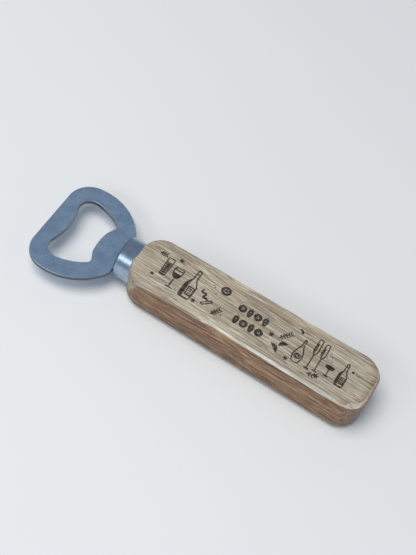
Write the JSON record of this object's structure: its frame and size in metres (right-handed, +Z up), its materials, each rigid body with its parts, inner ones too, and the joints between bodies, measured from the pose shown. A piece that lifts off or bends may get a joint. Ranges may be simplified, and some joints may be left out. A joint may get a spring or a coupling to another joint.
{
  "type": "bottle opener",
  "caption": "Flat steel crown cap opener with a shaped cap mouth, a short round collar and a rounded oak handle.",
  "frame": {"origin": "centre of the flat underside of the wooden block, which the opener rests on", "axes": "+X from the steel head towards the butt of the handle, +Z up, away from the surface it rests on, out of the decorated face"},
  "size_m": [0.1444, 0.0462, 0.0181],
  "materials": {
    "satin_steel": "satin, with a bluish grey rolled surface and bright broken edges",
    "polished_steel": "polished, turned round",
    "oak": "fine sanded open-pored oak with a thin matt oil, small dark printed drawings on the upper face",
    "epoxy": "cured amber epoxy, out of sight"
  },
  "bodies": {
    "root": {"head_plate": "satin_steel", "collar": "polished_steel", "wooden_handle": "oak", "adhesive_fill": "epoxy"}
  },
  "joints": []
}
